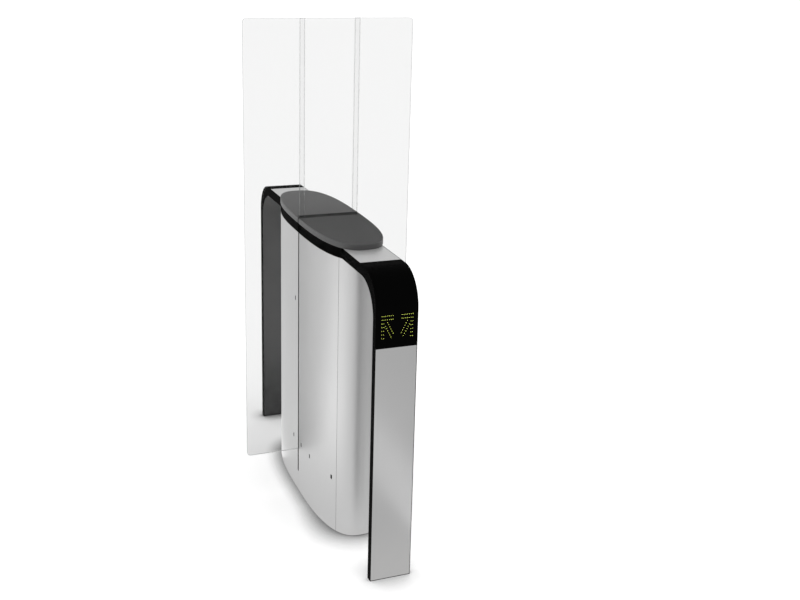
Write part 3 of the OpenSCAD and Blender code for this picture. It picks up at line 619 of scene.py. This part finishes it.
clear_glass = bpy.data.materials.new("Clear glass")
clear_glass.use_nodes = True
glass_shader = clear_glass.node_tree.nodes["Principled BSDF"]
tint = add(clear_glass.node_tree, "ShaderNodeGroup", node_tree=TONE_DRIFT, inputs={
    "Colour": GLASS_TINT, "Size": 1.5, "Amount": 0.006}).outputs["Colour"]
clear_glass.node_tree.links.new(tint, glass_shader.inputs["Base Color"])
glass_shader.inputs["Roughness"].default_value = 0.0
glass_shader.inputs["IOR"].default_value = GLASS_IOR
glass_shader.inputs["Transmission Weight"].default_value = 1.0
ground_edge = surface("Ground glass edge", (0.6, 0.62, 0.61), (0.5, 0.65), drift_size=30, Alpha=0.3)
arris = surface("Glass arris", (0.15, 0.158, 0.155), (0.4, 0.55), drift_size=30, Alpha=0.42)
for node, body in (("centre_pane", "frame"), ("left_wing_glass", "left_wing"),
                   ("right_wing_glass", "right_wing")):
    glass_pane(node, body)

# Top covers
# Two injection-moulded lens-shaped shells in dark grey plastic, fine-textured on top and smoother
# on the sides, with a rounded upper edge. They clip to the deck and meet round the glass well.

COVER_OVER = 0.002
COVER_LOW = 1.070
COVER_HIGH = 1.090
COVER_EDGE = 0.0025
COVER_WALL = 0.003
COVER_INNER_EDGE = 0.0005
COVER_CORNERS = 240
WELL = 0.020
WELL_END = 0.112
CUT_EDGE = 0.0004
TOP_FACING = 0.95


def lens_block_tree():
    """A solid block with the lens outline and a rounded upper edge."""
    tree, given, result = new_tree(
        "Lens block", "GeometryNodeTree",
        {"Half width": ("Float", 0.1), "Half length": ("Float", 0.4),
         "Fullness": ("Float", LENS_FULLNESS), "Low": ("Float", 0.0), "High": ("Float", 0.02),
         "Edge radius": ("Float", 0.002), "Corners": ("Int", COVER_CORNERS)},
        {"Mesh": "Geometry"})
    circle = add(tree, "GeometryNodeMeshCircle", {"Vertices": given["Corners"], "Radius": 1.0},
                 fill_type="NGON")
    marked = add(tree, "GeometryNodeStoreNamedAttribute",
                 {"Geometry": circle.outputs["Mesh"], "Name": "round",
                  "Value": add(tree, "GeometryNodeInputPosition").outputs[0]},
                 data_type="FLOAT_VECTOR", domain="POINT").outputs["Geometry"]
    unit = add(tree, "GeometryNodeInputNamedAttribute", {"Name": "round"}, data_type="FLOAT_VECTOR")
    axes = add(tree, "ShaderNodeSeparateXYZ", (unit.outputs[0],))
    power = maths(tree, "DIVIDE", 2.0, given["Fullness"])
    shares = [maths(tree, "MULTIPLY", maths(tree, "SIGN", axes.outputs[axis]),
                    maths(tree, "POWER", maths(tree, "ABSOLUTE", axes.outputs[axis]), power))
              for axis in ("X", "Y")]

    def ring(inset, height):
        x, y = (maths(tree, "MULTIPLY", share, maths(tree, "SUBTRACT", given[half], inset))
                for share, half in zip(shares, ("Half width", "Half length")))
        return vector(tree, x, y, height)

    def edge_ring(angle):
        inset = maths(tree, "MULTIPLY", given["Edge radius"], 1 - math.cos(math.radians(angle)))
        drop = maths(tree, "MULTIPLY", given["Edge radius"], 1 - math.sin(math.radians(angle)))
        return ring(inset, maths(tree, "SUBTRACT", given["High"], drop))

    def moved(mesh, inputs):
        shifted = add(tree, "GeometryNodeSetPosition", {"Geometry": mesh, **inputs})
        return shifted.outputs["Geometry"]

    mesh, top = moved(marked, {"Position": edge_ring(90)}), {}
    for place in [edge_ring(angle) for angle in (67.5, 45, 22.5, 0)] + [ring(0.0, given["Low"])]:
        grown_ring = add(tree, "GeometryNodeExtrudeMesh", {
            "Mesh": mesh, "Offset Scale": 0.0, **top}, mode="EDGES")
        top = {"Selection": grown_ring.outputs["Top"]}
        mesh = moved(grown_ring.outputs["Mesh"], {"Position": place, **top})
    base = add(tree, "GeometryNodeFlipFaces", {
        "Mesh": moved(marked, {"Position": ring(0.0, given["Low"])})})
    join = add(tree, "GeometryNodeJoinGeometry")
    for shell in (mesh, base.outputs["Mesh"]):
        tree.links.new(shell, join.inputs["Geometry"])
    closed = add(tree, "GeometryNodeMergeByDistance", {"Geometry": join.outputs["Geometry"],
                                                       "Distance": 1e-6})
    tree.links.new(closed.outputs["Geometry"], result["Mesh"])
    return tree


def cover_tree():
    """The front cover: a hollow lens block with the glass well and the wing slots cut away.

    The boxes that cut end well outside the cover, each at its own distance, so that no two of
    them share a plane.
    """
    tree, given, result = new_tree(
        "Cover half", "GeometryNodeTree",
        {"Half width": ("Float", LENS_WIDTH / 2 + COVER_OVER),
         "Half length": ("Float", LENS_LENGTH / 2 + COVER_OVER),
         "Fullness": ("Float", LENS_FULLNESS), "Low": ("Float", COVER_LOW),
         "High": ("Float", COVER_HIGH), "Edge radius": ("Float", COVER_EDGE),
         "Wall": ("Float", COVER_WALL), "Well": ("Float", WELL), "Well end": ("Float", WELL_END),
         "Outer slot": ("Float", SLOT_OUTER), "Inner slot": ("Float", SLOT_INNER),
         "Finish": ("Material", None)},
        {"Geometry": "Geometry"})

    def less(value, amount):
        return maths(tree, "SUBTRACT", value, amount)

    def box(low, high):
        low, high = vector(tree, *low), vector(tree, *high)
        size = add(tree, "ShaderNodeVectorMath", (high, low), operation="SUBTRACT").outputs[0]
        whole = add(tree, "ShaderNodeVectorMath", (high, low), operation="ADD").outputs[0]
        middle = add(tree, "ShaderNodeVectorMath", {0: whole, "Scale": 0.5},
                     operation="SCALE").outputs[0]
        cube = add(tree, "GeometryNodeMeshCube", {"Size": size})
        return add(tree, "GeometryNodeTransform", {"Geometry": cube.outputs["Mesh"],
                                                   "Translation": middle}).outputs["Geometry"]

    def cut(mesh, *tools):
        node = add(tree, "GeometryNodeMeshBoolean", {"Mesh 1": mesh}, operation="DIFFERENCE",
                   solver="EXACT")
        for tool in tools:
            tree.links.new(tool, node.inputs["Mesh 2"])
        return node.outputs["Mesh"]

    wall, right = given["Wall"], given["Well end"]
    left, start = less(0.0, right), less(0.0, given["Well"])
    outside = add(tree, "GeometryNodeGroup", node_tree=lens_block, inputs={
        name: given[name] for name in ("Half width", "Half length", "Fullness", "Low", "High",
                                       "Edge radius")}).outputs["Mesh"]
    inside = add(tree, "GeometryNodeGroup", node_tree=lens_block, inputs={
        "Half width": less(given["Half width"], wall),
        "Half length": less(given["Half length"], wall),
        "Fullness": given["Fullness"], "Low": less(given["Low"], 0.01),
        "High": less(given["High"], wall), "Edge radius": COVER_INNER_EDGE}).outputs["Mesh"]
    hollow = cut(inside, box((-1.0, less(start, wall), 0.0), (1.0, 1.0, 2.0)),
                 box((-1.0, -1.0, 0.1), (maths(tree, "ADD", left, wall), 1.1, 2.1)),
                 box((less(right, wall), -1.0, 0.2), (1.0, 1.2, 2.2)))
    half = cut(outside, hollow, box((left, start, 0.0), (right, 1.0, 2.0)),
               box((-1.0, less(0.0, given["Outer slot"]), 0.1), (0.0, 1.1, 2.1)),
               box((0.0, given["Inner slot"], 0.2), (1.0, 1.2, 2.2)))
    return finished(tree, half, given["Finish"], result)


# Both halves are the same plastic. The front one's top is painted far darker than the rear's, as
# painted shade.
front_plastic_painted_shade = surface("Cover plastic, front, painted shade", (0.039, 0.039, 0.039), (0.5, 0.6), drift=0.06,
                        bump=0.05, Specular_IOR_Level=0.15)
rear_plastic = surface("Cover plastic, rear", (0.096, 0.096, 0.096), (0.5, 0.6), drift=0.06,
                       bump=0.05, Specular_IOR_Level=0.15)
smooth_side = surface("Cover plastic, smooth side", (0.07, 0.07, 0.07), (0.36, 0.46), drift=0.06,
                      bump=0.01, Specular_IOR_Level=0.35)
lens_block = lens_block_tree()
cover_half = grown(cover_tree(), "cover_half", {"Finish": front_plastic_painted_shade})
for end, turn, plastic in (("front", Matrix.Identity(4), front_plastic_painted_shade),
                           ("rear", HALF_TURN, rear_plastic)):
    mesh = put_together(end + "_cover_shell", [(cover_half, turn)], plastic)
    mesh.materials.append(smooth_side)
    for face in mesh.polygons:
        face.material_index = 0 if face.normal.z >= TOP_FACING else 1
    round_edges(new_piece(mesh.name, mesh, end + "_cover"), CUT_EDGE)

# Well seals
# Soft grey rubber lips along both sides of the well, and two thinner ones glued to the faces of
# the fixed pane, so that little falls in beside the glass. The wings slide between them.

SEAL_END = 0.111
SEAL_LOW = 1.072
SEAL_HIGH = 1.0885
SEALS = ((-0.020, -0.017), (-0.0072, -0.0041), (0.0041, 0.0072), (0.017, 0.020))
LIP_ROUNDING = 0.0005

lips = bmesh.new()
for front_face, rear_face in SEALS:
    size = Vector((2 * SEAL_END, rear_face - front_face, SEAL_HIGH - SEAL_LOW, 1))
    middle = Vector((0, (rear_face + front_face) / 2, (SEAL_HIGH + SEAL_LOW) / 2))
    bmesh.ops.create_cube(lips, size=1.0, matrix=Matrix.Translation(middle) @ Matrix.Diagonal(size))
lip_mesh = bpy.data.meshes.new("well_lips")
lips.to_mesh(lip_mesh)
lips.free()
for face in lip_mesh.polygons:
    face.use_smooth = True
lip_rubber = surface("Well lips", (0.06, 0.06, 0.06), (0.6, 0.7), Specular_IOR_Level=0.15)
lip_mesh.materials.append(lip_rubber)
round_edges(new_piece("well_lips", lip_mesh, "well_seals"), LIP_ROUNDING)

# Room
# A wide white floor under a white sky that is strongest overhead. Steel mirrors the floor dimmer on
# the right, and three panels of light as soft bands. The camera stands at the photograph's place.

CAMERA_AT = (-1.22522, -3.746745, 2.09113)
CAMERA_YAW = 0.3837
CAMERA_PITCH = -0.279276
CAMERA_ROLL = 0.028147
FOCAL_PIXELS = 1104.776
IMAGE_PIXELS = 800
SENSOR_WIDTH = 36.0
LENS_SHIFT = -0.0625
SKY_LOW = 0.34
SKY_RISE = 1.0
FLOOR_HALF = 60
FLOOR_WHITE = 0.95
FLOOR_LIFT = 0.3
FLOOR_THROUGH_GLASS = 0.055
# What mirrors see of the floor, on the left and at the front right, and where it changes
LEFT_MIRRORED = 1.1
RIGHT_MIRRORED = 0.55
MIRRORED_CHANGE = (-0.3, 0.4)
MIRRORED_SLANT = 0.5
# How far the contact shadow reaches and the tone it falls to, beside and in front of the body, the
# tone at the front leg, and the places in Y between which each one changes
SIDE_REACH = 0.07
FRONT_REACH = 0.13
SIDE_DEPTH = 0.3
FRONT_DEPTH = 0.1
LEG_DEPTH = 0.58
FRONT_CHANGE = (-0.4, -0.15)
LEG_CHANGE = (-0.68, -0.52)
# Name, place, turn, width, length and power
LIGHT_PANELS = (("Left light panel", (-1.86, 0.3, 0.01), 68, 1.5, 2.6, 8),
                ("Rear light panel", (0.08, 1.45, 0.01), 0, 0.5, 2.4, 2.8),
                ("Front light panel", (0.285, -1.6, 0.01), 0, 0.2, 1.7, 0.45))


def seen_directly(tree, through_glass):
    """1 where seen or mirrored, a share where seen through glass, 0 for rays that carry light."""
    rays = add(tree, "ShaderNodeLightPath").outputs
    seen = maths(tree, "SUBTRACT", 1.0, rays["Diffuse Depth"])
    return add(tree, "ShaderNodeMath", (rays["Is Transmission Ray"], through_glass - 1, seen),
               operation="MULTIPLY_ADD", use_clamp=True).outputs[0]


def between(tree, value, limits, low, high):
    """A value that goes from low to high where another goes from one limit to the other."""
    return add(tree, "ShaderNodeMapRange", {"Value": value, "From Min": limits[0],
                                            "From Max": limits[1], "To Min": low,
                                            "To Max": high}).outputs["Result"]


def light_panel(name, place, turn, width, length, power):
    """A soft panel of light that lies on the floor, faces up and isn't seen itself."""
    lamp = bpy.data.lights.new(name, "AREA")
    lamp.shape = "RECTANGLE"
    lamp.size = width
    lamp.size_y = length
    lamp.energy = power
    holder = bpy.data.objects.new(name, lamp)
    bpy.context.scene.collection.objects.link(holder)
    holder.location = place
    holder.rotation_euler = (math.pi, 0, math.radians(turn))
    holder.visible_camera = False
    holder.visible_diffuse = False
    holder.visible_transmission = False


floor_mesh = bpy.data.meshes.new("floor")
floor_mesh.from_pydata([(-FLOOR_HALF, -FLOOR_HALF, 0), (FLOOR_HALF, -FLOOR_HALF, 0),
                        (FLOOR_HALF, FLOOR_HALF, 0), (-FLOOR_HALF, FLOOR_HALF, 0)],
                       [], [(0, 1, 2, 3)])
floor = bpy.data.objects.new("floor", floor_mesh)
bpy.context.scene.collection.objects.link(floor)
floor_paint = bpy.data.materials.new("White floor")
floor_paint.use_nodes = True
floor_mesh.materials.append(floor_paint)
floor_nodes = floor_paint.node_tree
floor_shader = floor_nodes.nodes["Principled BSDF"]
floor_shader.inputs["Roughness"].default_value = 1.0
floor_shader.inputs["Specular IOR Level"].default_value = 0.0
floor_shader.inputs["Emission Color"].default_value = (1, 1, 1, 1)
floor_point = add(floor_nodes, "ShaderNodeTexCoord").outputs["Object"]
place = add(floor_nodes, "ShaderNodeSeparateXYZ", (floor_point,)).outputs
reach = between(floor_nodes, place["Y"], FRONT_CHANGE, FRONT_REACH, SIDE_REACH)
body_depth = between(floor_nodes, place["Y"], FRONT_CHANGE, FRONT_DEPTH, SIDE_DEPTH)
depth = between(floor_nodes, place["Y"], LEG_CHANGE, LEG_DEPTH, body_depth)
openness = add(floor_nodes, "ShaderNodeAmbientOcclusion", {"Distance": reach}, samples=8)
contact = between(floor_nodes, openness.outputs["AO"], (0.5, 1.0), depth, 1.0)
white = vector(floor_nodes, FLOOR_WHITE, FLOOR_WHITE, FLOOR_WHITE)
shaded = add(floor_nodes, "ShaderNodeVectorMath", {0: white, "Scale": contact}, operation="SCALE")
floor_nodes.links.new(shaded.outputs["Vector"], floor_shader.inputs["Base Color"])
lift = maths(floor_nodes, "MULTIPLY", FLOOR_LIFT, seen_directly(floor_nodes, FLOOR_THROUGH_GLASS))
floor_nodes.links.new(maths(floor_nodes, "MULTIPLY", lift, contact),
                      floor_shader.inputs["Emission Strength"])
ahead = maths(floor_nodes, "MINIMUM", place["Y"], 0.0)
rightward = maths(floor_nodes, "MULTIPLY_ADD", ahead, MIRRORED_SLANT, place["X"])
mirrored = add(floor_nodes, "ShaderNodeEmission", {
    "Strength": between(floor_nodes, rightward, MIRRORED_CHANGE, LEFT_MIRRORED, RIGHT_MIRRORED)})
glossy = add(floor_nodes, "ShaderNodeLightPath").outputs["Is Glossy Ray"]
share = maths(floor_nodes, "MULTIPLY", seen_directly(floor_nodes, 0.0), glossy)
mixed = add(floor_nodes, "ShaderNodeMixShader", (
    share, floor_shader.outputs["BSDF"], mirrored.outputs["Emission"]))
floor_nodes.links.new(mixed.outputs["Shader"],
                      floor_nodes.nodes["Material Output"].inputs["Surface"])

world = bpy.data.worlds.new("Pale sky")
bpy.context.scene.world = world
world.use_nodes = True
sky_nodes = world.node_tree
direction = add(sky_nodes, "ShaderNodeTexCoord").outputs["Generated"]
height = add(sky_nodes, "ShaderNodeSeparateXYZ", (direction,)).outputs["Z"]
sky_light = maths(sky_nodes, "MULTIPLY_ADD", height, SKY_RISE, SKY_LOW)
level = between(sky_nodes, seen_directly(sky_nodes, 1.0), (0.0, 1.0), sky_light, 1.0)
sky = sky_nodes.nodes["Background"]
sky.inputs["Color"].default_value = (1, 1, 1, 1)
sky_nodes.links.new(level, sky.inputs["Strength"])

for panel in LIGHT_PANELS:
    light_panel(*panel)

forward = Vector((math.sin(CAMERA_YAW) * math.cos(CAMERA_PITCH),
                  math.cos(CAMERA_YAW) * math.cos(CAMERA_PITCH), math.sin(CAMERA_PITCH)))
level_right = Vector((math.cos(CAMERA_YAW), -math.sin(CAMERA_YAW), 0))
level_up = level_right.cross(forward)
right = level_right * math.cos(CAMERA_ROLL) + level_up * math.sin(CAMERA_ROLL)
up = level_up * math.cos(CAMERA_ROLL) - level_right * math.sin(CAMERA_ROLL)
lens = bpy.data.cameras.new("Camera")
lens.sensor_width = SENSOR_WIDTH
lens.sensor_fit = "HORIZONTAL"
lens.lens = SENSOR_WIDTH * FOCAL_PIXELS / IMAGE_PIXELS
lens.shift_y = LENS_SHIFT
lens.clip_end = 200.0
camera = bpy.data.objects.new("Camera", lens)
bpy.context.scene.collection.objects.link(camera)
facing = Matrix((right, up, -forward)).transposed().to_4x4()
camera.matrix_world = Matrix.Translation(CAMERA_AT) @ facing
bpy.context.scene.camera = camera
bpy.context.scene.view_settings.view_transform = "Standard"
